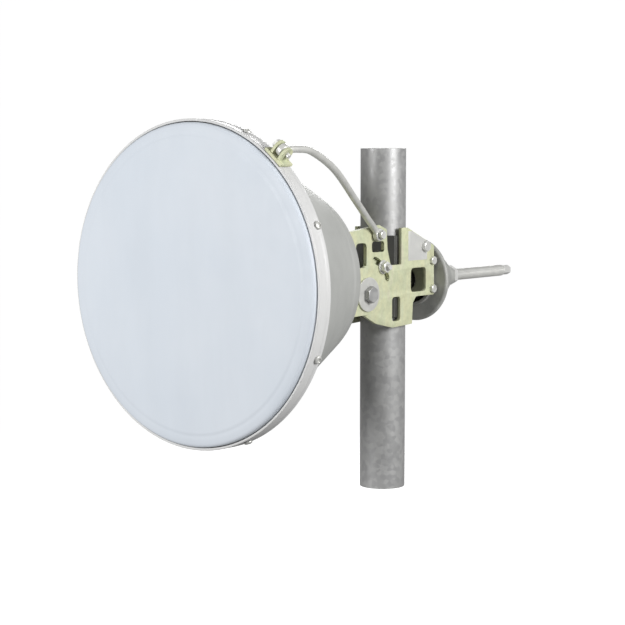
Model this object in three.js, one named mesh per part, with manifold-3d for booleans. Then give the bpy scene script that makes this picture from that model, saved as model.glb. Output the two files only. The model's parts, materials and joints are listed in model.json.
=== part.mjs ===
// Pole-mounted parabolic antenna with a flat radome, a tilting head and a screw-clamped mast bracket.
// Millimetres, +Z up. Origin: centre of the mast's bottom face. The antenna looks along -Y.
import * as THREE from 'three';
import { mergeVertices } from 'three/addons/utils/BufferGeometryUtils.js';
import Module from 'manifold-3d';

const wasm = await Module();
wasm.setup();

// ---- driving dimensions ----
const GAP = 0.3; // clearance where two pieces touch
const MAST_RADIUS = 30.15; // 60.3 mm steel tube
const MAST_WALL = 3.6;
const MAST_LENGTH = 452;
const AXIS_HEIGHT = 292; // boresight above the mast's foot
const FACE_Y = -380; // front of the radome
const DISH_RADIUS = 195;
const BAND_WALL = 3;
const RIM_DEPTH = 30; // radome face to the back of the rim band
const SHEET = 2.5; // spun sheet of the reflector and the rear shell
const FOCAL_LENGTH = 88;
const SHELL_BACK_RADIUS = 108;
const SHELL_BACK_Y = -179;
const HUB_PLATE = 6;
const HUB_FLANGE = 4; // flange of the hub tube, inside the shell
const YOKE_PLATE = 5;
const YOKE_LOW = -54; // lower edge of the yoke's base
const YOKE_INSIDE = 40.5; // half the width between the yoke's arms
const SIDE_PLATE = 4.5;
const SIDE_INSIDE = 34.4; // half the width between the side plates
const PIVOT = { y: -92, z: -26 }; // elevation axis, along X
const LOCK_RADIUS = 46; // arc slot about the pivot
const LOCK_ANGLE = 47;
const TILT_HALF_SLOT = 23; // degrees of slot each way
const SCREW_Z = -17; // clamp screw above the boresight
const SCREW_RADIUS = 8;
const SCREW_END_Y = 300;
const BRIDGE_Y = 54; // front of the rear bridge
const BRIDGE_THICKNESS = 8;
const BRIDGE_LOW = -36;
const BRIDGE_HIGH = 22;
const JAW_HALF = 20; // half height of the sliding jaw
const JAW_SHEET = 5;
const VEE_ANGLE = 35; // each face of a V jaw, away from straight across
const BRACE_RADIUS = 4.5;
const BRACE_ANGLE = 50; // the brace lies in a plane this far above +X

const rad = THREE.MathUtils.degToRad;
const mountGroup = new THREE.Group(); // y from the mast's axis, z from the boresight
mountGroup.position.z = AXIS_HEIGHT;
const model = new THREE.Group();
model.add(mountGroup);

// ---- materials ----
const finish = (color, roughness, metalness) =>
  new THREE.MeshStandardMaterial({ color, roughness, metalness });
const radomePlastic = finish(0xd4dbe3, 0.5, 0);
const rimPaint = finish(0xdcdfe0, 0.45, 0);
const shellPaint = finish(0xadb0af, 0.5, 0);
const castPaint = finish(0x73756f, 0.6, 0.3);
const blackSteel = finish(0x3a3b3a, 0.5, 0.4);
const zincChromate = finish(0xb9b58e, 0.45, 0.7);
const galvanised = finish(0xa4a4a2, 0.5, 0.8);
const boltSteel = finish(0xb9b8ae, 0.35, 0.9);
const spunAluminium = finish(0xc4c6c8, 0.4, 0.9);
const dielectric = finish(0xe9e6dc, 0.5, 0);
const gasketRubber = finish(0x2a2b2c, 0.8, 0);
const brassPlate = finish(0xb59a5c, 0.35, 0.9);

// ---- helpers ----
function add(name, geometry, material, parent = mountGroup) {
  const mesh = new THREE.Mesh(geometry, material);
  mesh.name = name;
  parent.add(mesh);
  return mesh;
}

function solid(geometry) {
  const bare = geometry.clone();
  bare.deleteAttribute('normal');
  bare.deleteAttribute('uv');
  const merged = mergeVertices(bare, 1e-4);
  const corners = merged.index.array;
  const kept = [];
  for (let i = 0; i < corners.length; i += 3) {
    const [a, b, c] = corners.slice(i, i + 3);
    if (a !== b && b !== c && c !== a) kept.push(a, b, c);
  }
  const mesh = new wasm.Mesh({
    numProp: 3,
    vertProperties: new Float32Array(merged.attributes.position.array),
    triVerts: new Uint32Array(kept),
  });
  return new wasm.Manifold(mesh);
}

function fromSolid(body) {
  const mesh = body.getMesh();
  const geometry = new THREE.BufferGeometry();
  geometry.setAttribute('position', new THREE.BufferAttribute(new Float32Array(mesh.vertProperties), 3));
  geometry.setIndex(new THREE.BufferAttribute(new Uint32Array(mesh.triVerts), 1));
  return geometry;
}

const cut = (geometry, tools) =>
  fromSolid(tools.reduce((body, tool) => body.subtract(solid(tool)), solid(geometry)));
const join = (geometries) => fromSolid(geometries.map(solid).reduce((sum, body) => sum.add(body)));

// A solid of revolution about Y: points are [radius, y], counter-clockwise.
function turned(points, segments = 36) {
  return new THREE.LatheGeometry(points.map(([r, y]) => new THREE.Vector2(r, y)), segments);
}

const ring = (inner, outer, y0, y1, segments = 16) =>
  turned([[inner, y0], [outer, y0], [outer, y1], [inner, y1], [inner, y0]], segments);

function cylinder(radius, y0, y1, segments = 12) {
  const geometry = new THREE.CylinderGeometry(radius, radius, y1 - y0, segments);
  return geometry.translate(0, (y0 + y1) / 2, 0);
}

const hexagon = (acrossFlats, y0, y1) => cylinder(acrossFlats / Math.sqrt(3), y0, y1, 6);
const alongX = (geometry) => geometry.rotateZ(-Math.PI / 2); // +Y becomes +X
const at = (geometry, x, y, z) => geometry.translate(x, y, z);
const box = (x0, x1, y0, y1, z0, z1) =>
  new THREE.BoxGeometry(x1 - x0, y1 - y0, z1 - z0).translate((x0 + x1) / 2, (y0 + y1) / 2, (z0 + z1) / 2);

// A flat plate drawn in the (y, z) plane, from x0 to x1.
function plateYZ(shape, x0, x1) {
  const options = { depth: x1 - x0, bevelEnabled: false, curveSegments: 3 };
  const geometry = new THREE.ExtrudeGeometry(shape, options);
  const axes = new THREE.Matrix4().makeBasis(
    new THREE.Vector3(0, 1, 0), new THREE.Vector3(0, 0, 1), new THREE.Vector3(1, 0, 0));
  return geometry.applyMatrix4(axes).translate(x0, 0, 0);
}

// A closed counter-clockwise outline whose corners are rounded by the given radius.
function roundedOutline(points, radius) {
  const corners = points.map(([y, z]) => new THREE.Vector2(y, z));
  if (THREE.ShapeUtils.isClockWise(corners)) corners.reverse();
  const shape = new THREE.Shape();
  corners.forEach((corner, i) => {
    const before = corners[(i + corners.length - 1) % corners.length];
    const after = corners[(i + 1) % corners.length];
    const enter = before.clone().sub(corner).setLength(radius).add(corner);
    const leave = after.clone().sub(corner).setLength(radius).add(corner);
    if (i === 0) shape.moveTo(enter.x, enter.y);
    else shape.lineTo(enter.x, enter.y);
    shape.quadraticCurveTo(corner.x, corner.y, leave.x, leave.y);
  });
  return shape;
}

const slotHole = (y0, y1, z0, z1, r) => roundedOutline([[y0, z0], [y0, z1], [y1, z1], [y1, z0]], r);

// The points of a lug's round end, from one angle to another about (y, z).
function arcPoints(y, z, radius, fromDeg, toDeg, steps) {
  return Array.from({ length: steps + 1 }, (_, i) => {
    const a = rad(fromDeg + ((toDeg - fromDeg) * i) / steps);
    return [y + radius * Math.cos(a), z + radius * Math.sin(a)];
  });
}

const pathOf = (points) => new THREE.Path(points.map(([y, z]) => new THREE.Vector2(y, z)));
const roundHole = (y, z, radius) => pathOf(arcPoints(y, z, radius, 0, 330, 11));

const lockPoint = {
  y: PIVOT.y + LOCK_RADIUS * Math.cos(rad(LOCK_ANGLE)),
  z: PIVOT.z + LOCK_RADIUS * Math.sin(rad(LOCK_ANGLE)),
};

// The curved slot about the pivot that the lock bolt runs in.
function arcSlot(half) {
  const from = LOCK_ANGLE - TILT_HALF_SLOT;
  const to = LOCK_ANGLE + TILT_HALF_SLOT;
  const [lowEnd] = arcPoints(PIVOT.y, PIVOT.z, LOCK_RADIUS, from, to, 1);
  const highEnd = arcPoints(PIVOT.y, PIVOT.z, LOCK_RADIUS, from, to, 1)[1];
  const points = [
    ...arcPoints(PIVOT.y, PIVOT.z, LOCK_RADIUS + half, from, to, 6),
    ...arcPoints(...highEnd, half, to + 36, to + 144, 3),
    ...arcPoints(PIVOT.y, PIVOT.z, LOCK_RADIUS - half, to, from, 6),
    ...arcPoints(...lowEnd, half, from + 216, from + 324, 3),
  ];
  return pathOf(points);
}

// ---- mast ----
function makeMast() {
  const tube = ring(MAST_RADIUS - MAST_WALL, MAST_RADIUS, 0, MAST_LENGTH, 36).rotateX(Math.PI / 2);
  add('mast', tube, galvanised, model);
}

// ---- radome, rim and reflector ----
const bandInner = DISH_RADIUS - BAND_WALL;
const radomeEdge = bandInner - 1; // the discs inside the band clear its inner wall
const radomeBack = FACE_Y + 14;
const flangeY = radomeBack + 2.3; // front of the reflector's flange
const shellFlangeY = flangeY + SHEET + GAP;
const bandBack = FACE_Y + RIM_DEPTH;
const reflectorRim = 178;
const vertexY = flangeY + reflectorRim ** 2 / (4 * FOCAL_LENGTH);
const dishY = (r) => vertexY - r ** 2 / (4 * FOCAL_LENGTH);
const rimScrewY = (shellFlangeY + SHEET + bandBack - BAND_WALL) / 2;

function makeRadome() {
  const wall = 3;
  add('radome', turned([
    [0, FACE_Y], [120, FACE_Y + 1], [175, FACE_Y + 2.4], [186, FACE_Y + 3.8], [190.3, FACE_Y + 6.6],
    [radomeEdge, FACE_Y + 11], [radomeEdge, radomeBack], [radomeEdge - wall, radomeBack],
    [radomeEdge - wall, FACE_Y + 11.5], [184, FACE_Y + 7], [0, FACE_Y + wall],
  ], 48), radomePlastic);
  add('radome_gasket', ring(185, radomeEdge, radomeBack + GAP, flangeY - GAP, 32), gasketRubber);
}

function makeRimBand() {
  const band = turned([
    [bandInner, FACE_Y + 9], [DISH_RADIUS, FACE_Y + 9], [DISH_RADIUS, bandBack], [184, bandBack],
    [184, bandBack - BAND_WALL], [bandInner, bandBack - BAND_WALL], [bandInner, FACE_Y + 9],
  ], 48);
  const count = 8;
  const turn = (geometry, i) => geometry.rotateY(rad(22.5 + (360 / count) * i));
  const holes = [];
  for (let i = 0; i < count; i += 1) {
    holes.push(turn(at(alongX(cylinder(2.6, 188, 200, 8)), 0, rimScrewY, 0), i));
  }
  add('rim_band', cut(band, holes), rimPaint);
  for (let i = 0; i < count; i += 1) {
    const screw = alongX(turned([
      [0, 185], [2.3, 185], [2.3, DISH_RADIUS + GAP], [4.8, DISH_RADIUS + GAP], [4.2, 197.6], [0, 198.2],
    ], 8));
    add(`rim_screw_${i + 1}`, turn(at(screw, 0, rimScrewY, 0), i), boltSteel);
  }
}

function makeReflector() {
  const hole = 13.5;
  const radii = [0, 1, 2, 3, 4, 5, 6].map((i) => hole + ((reflectorRim - hole) * i) / 6);
  const front = radii.map((r) => [r, dishY(r)]);
  const back = radii.map((r) => [r, dishY(r) + SHEET]).reverse();
  const flange = [[radomeEdge, flangeY], [radomeEdge, flangeY + SHEET]];
  add('reflector', turned([...front, ...flange, ...back, front[0]], 36), spunAluminium);
}

// ---- conical rear shell, hub and yoke ----
const hubPlateY = SHELL_BACK_Y + GAP;
const yokeY = hubPlateY + HUB_PLATE + GAP; // front of the yoke's base
const yokeBack = yokeY + YOKE_PLATE;
const hubBoltOffset = 31;
const hubCorners = [[1, 1], [1, -1], [-1, -1], [-1, 1]];
const hubDrills = () => hubCorners.map(([sx, sz]) =>
  at(cylinder(4.3, -200, -150, 10), sx * hubBoltOffset, 0, sz * hubBoltOffset));

function makeRearShell() {
  const neck = 182.9;
  const shell = turned([
    [neck - SHEET, shellFlangeY], [radomeEdge, shellFlangeY], [radomeEdge, shellFlangeY + SHEET],
    [neck, shellFlangeY + SHEET], [neck, bandBack - BAND_WALL], [SHELL_BACK_RADIUS, SHELL_BACK_Y - 6],
    [SHELL_BACK_RADIUS - 4, SHELL_BACK_Y - 1.5], [SHELL_BACK_RADIUS - 9, SHELL_BACK_Y], [26, SHELL_BACK_Y],
    [26, SHELL_BACK_Y - SHEET], [SHELL_BACK_RADIUS - 10, SHELL_BACK_Y - SHEET],
    [SHELL_BACK_RADIUS - 3.5, SHELL_BACK_Y - 8], [neck - SHEET, bandBack - BAND_WALL - 1],
    [neck - SHEET, shellFlangeY],
  ], 40);
  add('rear_shell', cut(shell, hubDrills()), shellPaint);
}

function makeHub() {
  const back = SHELL_BACK_Y - SHEET - GAP;
  const tube = turned([
    [21, vertexY + SHEET + GAP], [26, vertexY + SHEET + GAP], [26, back - HUB_FLANGE],
    [54, back - HUB_FLANGE], [54, back], [21, back], [21, vertexY + SHEET + GAP],
  ], 28);
  add('hub_tube', cut(tube, hubDrills()), spunAluminium);
  add('hub_plate', cut(ring(24, 72, hubPlateY, hubPlateY + HUB_PLATE, 32), hubDrills()), zincChromate);
  hubCorners.forEach(([sx, sz], i) => {
    const bolt = join([cylinder(4, back - HUB_FLANGE - 2, yokeBack + 2, 10),
      hexagon(13, yokeBack + GAP, yokeBack + GAP + 5.5)]);
    add(`hub_bolt_${i + 1}`, at(bolt, sx * hubBoltOffset, 0, sz * hubBoltOffset), boltSteel);
  });
}

const bracePin = { y: -76, z: 50 }; // lower end of the brace, on the right arm

function armShape(withBrace) {
  const eye = 26.5;
  const outline = [
    [yokeY, YOKE_LOW], [yokeY, 50], [-100, 58], [-68, 62], [-52, 56], [-50, 30], [-44, 12], [-38, -2], [-38, -14],
    ...arcPoints(PIVOT.y, PIVOT.z, eye, -45, -95, 4),
  ];
  const shape = roundedOutline(outline, 1.2);
  shape.holes.push(roundHole(PIVOT.y, PIVOT.z, 6.3));
  shape.holes.push(slotHole(-116, -94, 8, 40, 6));
  shape.holes.push(slotHole(-83, -57, 27, 41, 4));
  if (withBrace) shape.holes.push(roundHole(bracePin.y, bracePin.z, 3.3));
  shape.holes.push(arcSlot(4.6));
  return shape;
}

function makeYoke() {
  const outside = YOKE_INSIDE + YOKE_PLATE;
  const base = box(-outside, outside, yokeY, yokeBack, YOKE_LOW + 0.2, 49.8);
  const drills = [...hubDrills(), at(cylinder(24, -200, -150, 20), 0, 0, 0)];
  const right = plateYZ(armShape(true), YOKE_INSIDE, outside);
  const left = plateYZ(armShape(false), -outside, -YOKE_INSIDE);
  const joined = join([base, right, left]);
  add('tilt_yoke', cut(joined, drills), zincChromate);
}

// ---- brace from the rim to the yoke ----
const polar = (y, rho, degrees) =>
  new THREE.Vector3(rho * Math.cos(rad(degrees)), y, rho * Math.sin(rad(degrees)));
const earRadius = 207;
const earY = -360.5;

function makeBrace() {
  const end = new THREE.Vector3(YOKE_INSIDE + YOKE_PLATE + BRACE_RADIUS + 2 * GAP, bracePin.y, bracePin.z);
  const route = new THREE.CatmullRomCurve3([
    polar(earY, earRadius, BRACE_ANGLE), polar(-334, 208.5, BRACE_ANGLE), polar(-306, 204, BRACE_ANGLE),
    polar(-243, 176, BRACE_ANGLE), polar(-164, 127, BRACE_ANGLE), polar(-112, 94, BRACE_ANGLE),
    end.clone().add(new THREE.Vector3(0.8, -13, 11)), end,
  ]);
  const section = new THREE.Shape();
  section.absarc(0, 0, BRACE_RADIUS, 0, 2 * Math.PI, false);
  const rod = new THREE.ExtrudeGeometry(section, { steps: 20, curveSegments: 4, extrudePath: route });
  const upperEye = cylinder(7.8, -BRACE_RADIUS, BRACE_RADIUS, 14);
  const upperBore = cylinder(3.3, -10, 10, 12);
  [upperEye, upperBore].forEach((part) => placeOnEar(part));
  const lowerEye = at(alongX(cylinder(8.5, -BRACE_RADIUS, BRACE_RADIUS, 14)), end.x, end.y, end.z);
  const lowerBore = at(alongX(cylinder(3.3, -10, 10, 12)), end.x, end.y, end.z);
  add('brace', cut(join([rod, upperEye, lowerEye]), [upperBore, lowerBore]), boltSteel);
  const pin = join([alongX(cylinder(3, YOKE_INSIDE - 0.8, end.x + BRACE_RADIUS + 2, 12)),
    alongX(hexagon(10, end.x + BRACE_RADIUS + GAP, end.x + BRACE_RADIUS + GAP + 4.5))]);
  add('brace_bolt_lower', at(pin, 0, end.y, end.z), boltSteel);
}

// Moves a part whose axis is Y to the ear's bolt, with its axis along the rim.
function placeOnEar(part) {
  const radial = polar(0, 1, BRACE_ANGLE);
  const along = new THREE.Vector3(-radial.z, 0, radial.x);
  const boresight = new THREE.Vector3(0, 1, 0);
  const turn = new THREE.Matrix4().makeBasis(boresight, along, radial);
  if (turn.determinant() < 0) turn.makeBasis(boresight.negate(), along, radial);
  return part.applyMatrix4(turn).translate(radial.x * earRadius, earY, radial.z * earRadius);
}

function makeRimEar() {
  const foot = DISH_RADIUS - earRadius + GAP + 0.1;
  const base = box(-10, 10, -15, 15, foot, foot + 3.2);
  const cheek = (y) => join([box(-8, 8, y, y + 3.5, foot + 1, 0), cylinder(8, y, y + 3.5, 14)]);
  const drill = cylinder(3.3, -30, 30, 12);
  const ear = cut(join([base, cheek(BRACE_RADIUS + GAP), cheek(-BRACE_RADIUS - GAP - 3.5)]), [drill]);
  add('rim_ear', placeOnEar(ear), zincChromate);
  const cheekEnd = BRACE_RADIUS + GAP + 3.5;
  const head = cheekEnd + GAP;
  const bolt = join([cylinder(3, -cheekEnd - 4, head + 2, 12), hexagon(10, head, head + 4.5)]);
  add('brace_bolt_upper', placeOnEar(bolt), boltSteel);
}

// ---- feed, which turns inside the hub ----
function makeFeed() {
  const focusY = vertexY - FOCAL_LENGTH;
  const mouth = focusY + 10;
  const flangeFront = yokeBack + 0.5;
  add('feed_tube', ring(9, 12, mouth, flangeFront + 6, 20), spunAluminium);
  add('feed_cone', turned([
    [0, focusY - 2], [25, focusY - 2], [24, focusY], [12, mouth - GAP], [8.6, mouth - GAP], [8.6, mouth + 18],
    [0, mouth + 34],
  ], 16), dielectric);
  add('subreflector', turned([
    [0, focusY - 5], [20, focusY - 5], [27, focusY - 3.8], [27, focusY - 2.3], [0, focusY - 2.3],
  ], 20), spunAluminium);
  add('feed_flange', ring(12.3, 30, flangeFront, flangeFront + 5, 24), brassPlate);
  const back = flangeFront + 6 + GAP;
  add('feed_connector', turned([
    [0, back], [12, back], [12, back + 4], [7.5, back + 5], [7.5, back + 8], [8.5, back + 8.5],
    [8.5, back + 20], [0, back + 20],
  ], 16), brassPlate);
}

// ---- pole bracket ----
const plateOutside = SIDE_INSIDE + SIDE_PLATE;
const spacer = { y: 41, z: 30 };
const bridgeScrews = [{ name: 'upper', z: 10 }, { name: 'lower', z: -28 }];
const bridgeMiddle = BRIDGE_Y + BRIDGE_THICKNESS / 2;

function sidePlateShape() {
  const outline = [
    [-72, 18], [-44, 18], [-40, 8], [-11, 8], [-11, 56], [2, 56], [62, 30], [62, -36], [22, -36], [15, -44],
    [13, -72], [-30, -74], [-66, -66],
    ...arcPoints(PIVOT.y, PIVOT.z, 25, -105, -235, 6),
  ];
  const shape = roundedOutline(outline, 1.5);
  shape.holes.push(roundHole(PIVOT.y, PIVOT.z, 6.3));
  shape.holes.push(roundHole(lockPoint.y, lockPoint.z, 4.3));
  shape.holes.push(slotHole(-31, -13, -66, -34, 5));
  shape.holes.push(slotHole(10, 44, -30, 2, 6));
  shape.holes.push(roundHole(spacer.y, spacer.z, 4.3));
  bridgeScrews.forEach(({ z }) => shape.holes.push(roundHole(bridgeMiddle, z, 3.3)));
  return shape;
}

function makeSidePlates() {
  add('side_plate_right', plateYZ(sidePlateShape(), SIDE_INSIDE, plateOutside), zincChromate);
  add('side_plate_left', plateYZ(sidePlateShape(), -plateOutside, -SIDE_INSIDE), zincChromate);
}

// A folded V that touches the mast; side is -1 in front of the mast and 1 behind it.
function veeShape(side, halfWidth) {
  const tilt = rad(VEE_ANGLE);
  const face = (x, distance) => (side * (distance - x * Math.sin(tilt))) / Math.cos(tilt);
  const near = MAST_RADIUS + GAP;
  const far = near + JAW_SHEET;
  return new THREE.Shape([
    [0, face(0, near)], [halfWidth, face(halfWidth, near)], [halfWidth, face(halfWidth, far)],
    [0, face(0, far)], [-halfWidth, face(halfWidth, far)], [-halfWidth, face(halfWidth, near)],
  ].map(([x, y]) => new THREE.Vector2(x, y)));
}

const upright = (shape, low, high) =>
  new THREE.ExtrudeGeometry(shape, { depth: high - low, bevelEnabled: false }).translate(0, 0, low);

function makeFrontJaw() {
  add('front_jaw', upright(veeShape(-1, SIDE_INSIDE - GAP), -62, 46), blackSteel);
}

function makePivot() {
  const armFace = YOKE_INSIDE + YOKE_PLATE + GAP;
  const washer = 2.5;
  const head = armFace + washer + GAP;
  const place = (geometry) => at(alongX(geometry), 0, PIVOT.y, PIVOT.z);
  const bolt = join([cylinder(6, -head - 14, head + 2), hexagon(19, head, head + 7.5)]);
  add('pivot_bolt', place(bolt), galvanised);
  add('pivot_nut', place(cut(hexagon(19, -head - 10.5, -head), [cylinder(6.3, -80, 80)])), boltSteel);
  add('pivot_washer_right', place(ring(6.4, 22, armFace, armFace + washer, 24)), boltSteel);
  add('pivot_washer_left', place(ring(6.4, 22, -armFace - washer, -armFace, 24)), boltSteel);
}

function makeLocks() {
  const armFace = YOKE_INSIDE + YOKE_PLATE + GAP;
  const washer = 1.8;
  [['right', 1], ['left', -1]].forEach(([name, side]) => {
    const place = (geometry) => {
      const turnedRound = side > 0 ? alongX(geometry) : alongX(geometry).rotateZ(Math.PI);
      return at(turnedRound, 0, lockPoint.y, lockPoint.z);
    };
    const bolt = join([cylinder(4, 31, armFace + 13, 14), cylinder(8, 30, SIDE_INSIDE - GAP, 14)]);
    add(`lock_bolt_${name}`, place(bolt), boltSteel);
    add(`lock_washer_${name}`, place(ring(4.4, 9, armFace, armFace + washer)), boltSteel);
    const nutFace = armFace + washer + GAP;
    const nut = cut(hexagon(13, nutFace, nutFace + 6.5), [cylinder(4.3, 0, 90, 14)]);
    add(`lock_nut_${name}`, place(nut), boltSteel);
  });
}

function makeSpacer() {
  const face = plateOutside + GAP;
  const place = (geometry) => at(alongX(geometry), 0, spacer.y, spacer.z);
  add('spacer', place(ring(4.4, 6.6, GAP - SIDE_INSIDE, SIDE_INSIDE - GAP, 14)), boltSteel);
  const bolt = join([cylinder(4, -face - 9, face + 2, 14), hexagon(13, face, face + 5.5)]);
  add('spacer_bolt', place(bolt), boltSteel);
  const nut = cut(hexagon(13, -face - 6.5, -face), [cylinder(4.3, -60, 0, 14)]);
  add('spacer_nut', place(nut), boltSteel);
}

function makeRearBridge() {
  const width = SIDE_INSIDE - GAP;
  const bar = box(-width, width, BRIDGE_Y, BRIDGE_Y + BRIDGE_THICKNESS, BRIDGE_LOW, BRIDGE_HIGH);
  const drill = (z) => at(alongX(cylinder(3.2, -60, 60, 12)), 0, bridgeMiddle, z);
  const opening = at(cylinder(14.5, 40, 80, 16), 0, 0, SCREW_Z);
  add('rear_bridge', cut(bar, [opening, ...bridgeScrews.map(({ z }) => drill(z))]), zincChromate);
  bridgeScrews.forEach(({ name, z }) => {
    [['right', 1], ['left', -1]].forEach(([hand, side]) => {
      const screw = alongX(join([cylinder(2.8, 20, plateOutside + 2, 12),
        hexagon(10, plateOutside + GAP, plateOutside + GAP + 4.2)]));
      if (side < 0) screw.rotateZ(Math.PI);
      add(`bridge_screw_${hand}_${name}`, at(screw, 0, bridgeMiddle, z), boltSteel);
    });
  });
}

function makeBonnet() {
  const front = BRIDGE_Y + BRIDGE_THICKNESS + GAP;
  const tip = 149;
  const bore = SCREW_RADIUS + GAP;
  add('screw_bonnet', at(turned([
    [32, front], [36, front], [36, front + 4], [55, front + 4], [57, front + 6], [57, front + 10],
    [51, front + 14], [15, tip - 10], [13.5, tip], [bore, tip], [bore, tip - 15], [14, tip - 21],
    [32, front + 34], [32, front],
  ], 32), 0, 0, SCREW_Z), castPaint);
  const nut = cut(hexagon(24, tip + GAP, tip + GAP + 9), [cylinder(bore, 0, 300)]);
  add('screw_lock_nut', at(nut, 0, 0, SCREW_Z), boltSteel);
}

// ---- sliding rear jaw and its screw ----
function makeClamp() {
  const apex = (MAST_RADIUS + GAP + JAW_SHEET) / Math.cos(rad(VEE_ANGLE));
  const vee = upright(veeShape(1, 30), SCREW_Z - JAW_HALF, SCREW_Z + JAW_HALF);
  const boss = at(cylinder(10, apex - 4, apex + 3.5, 14), 0, 0, SCREW_Z);
  add('rear_jaw', join([vee, boss]), blackSteel);
  const seat = apex + 3.5 + GAP;
  add('thrust_cap', at(turned([
    [0, seat], [12.5, seat], [12.5, seat + 9], [SCREW_RADIUS + GAP, seat + 9], [SCREW_RADIUS + GAP, seat + 3],
    [0, seat + 3],
  ], 16), 0, 0, SCREW_Z), blackSteel);
  const drive = 16;
  const screw = join([
    cylinder(SCREW_RADIUS, seat + 3 + GAP, SCREW_END_Y - drive, 16),
    hexagon(12, SCREW_END_Y - drive - 1, SCREW_END_Y),
  ]);
  add('clamp_screw', at(screw, 0, 0, SCREW_Z), boltSteel);
}

makeMast();
makeRadome();
makeRimBand();
makeReflector();
makeRearShell();
makeHub();
makeYoke();
makeRimEar();
makeBrace();
makeFeed();
makeSidePlates();
makeFrontJaw();
makePivot();
makeLocks();
makeSpacer();
makeRearBridge();
makeBonnet();
makeClamp();

export default model;
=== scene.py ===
"""Looks of a pole-mounted parabolic antenna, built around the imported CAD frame.

Profiles and places are in millimetres: y from the mast's axis, z from the boresight.
Mesh data is turned into metres in the row frame when each object is made.
"""

import json
import math

import bmesh
import bpy
from mathutils import Matrix, Vector


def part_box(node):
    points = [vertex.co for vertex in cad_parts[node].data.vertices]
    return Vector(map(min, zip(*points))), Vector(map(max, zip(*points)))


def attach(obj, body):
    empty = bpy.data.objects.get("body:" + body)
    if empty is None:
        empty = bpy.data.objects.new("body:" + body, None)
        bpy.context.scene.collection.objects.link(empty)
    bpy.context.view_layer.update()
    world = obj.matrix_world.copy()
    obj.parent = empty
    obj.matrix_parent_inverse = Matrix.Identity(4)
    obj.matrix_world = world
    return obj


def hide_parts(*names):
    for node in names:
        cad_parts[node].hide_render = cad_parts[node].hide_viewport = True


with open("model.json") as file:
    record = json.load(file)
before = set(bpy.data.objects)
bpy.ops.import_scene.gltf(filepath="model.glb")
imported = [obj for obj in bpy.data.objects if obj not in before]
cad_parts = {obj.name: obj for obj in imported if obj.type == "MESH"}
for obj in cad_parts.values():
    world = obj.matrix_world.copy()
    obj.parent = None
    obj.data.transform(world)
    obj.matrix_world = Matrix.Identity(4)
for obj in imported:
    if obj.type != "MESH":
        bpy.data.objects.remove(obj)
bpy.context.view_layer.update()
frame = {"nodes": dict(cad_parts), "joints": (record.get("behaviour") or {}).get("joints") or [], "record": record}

MM = 0.001
HEAD, FEED, BRACKET = "dish_head", "feed_assembly", "pole_bracket"
MAST, JAW, SCREW = "mast_pipe", "clamp_jaw", "jack_screw"


def extent(node):
    """A node's lowest and highest corner in millimetres, with z from the boresight."""
    low, high = (Vector(corner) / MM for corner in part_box(node))
    return low - Vector((0, 0, AXIS_Z)), high - Vector((0, 0, AXIS_Z))


AXIS_Z = sum(corner[2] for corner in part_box("radome")) / 2 / MM
FACE_Y = extent("radome")[0].y
DISH_R = extent("rim_band")[1].x
MAST_R = extent("mast")[1].x
PIVOT = Vector(next(j for j in frame["joints"] if j["name"] == "elevation_tilt")["pos_m"]) / MM
PIVOT.z -= AXIS_Z
RIGHT, UP, BACK = Vector((1, 0, 0)), Vector((0, 0, 1)), Vector((0, 1, 0))

# Sizes in millimetres that no box of the frame gives.
SPUN_SHEET = 2.5  # reflector and rear shell
RADOME_WALL = 3.0
BAND_WALL = 3
YOKE_PLATE = 5.0
MAST_WALL = 3.6
FOCAL_LENGTH = 88.0
REFLECTOR_RIM = 178.0  # radius where the paraboloid meets its flange
SHELL_NECK = 182.9  # radius of the shell inside the rim band
SHELL_SHOULDER = 108.0  # radius of the shell's back
EAR_RADIUS = 207.0  # from the boresight to the ear's bolt
BRACE_ANGLE = 50.0  # degrees from +X up to the plane of the brace
BRACE_END_X = 50.6
CLAMP_THREAD = 2.0  # pitch of the clamp screw
SHEET_EDGE = 0.6  # rounding of the edges of flat plates
SAME = 0.05  # places closer than this are the same place
FILLET_STEPS = 4


# ---- materials -----------------------------------------------------------------------------


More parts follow.
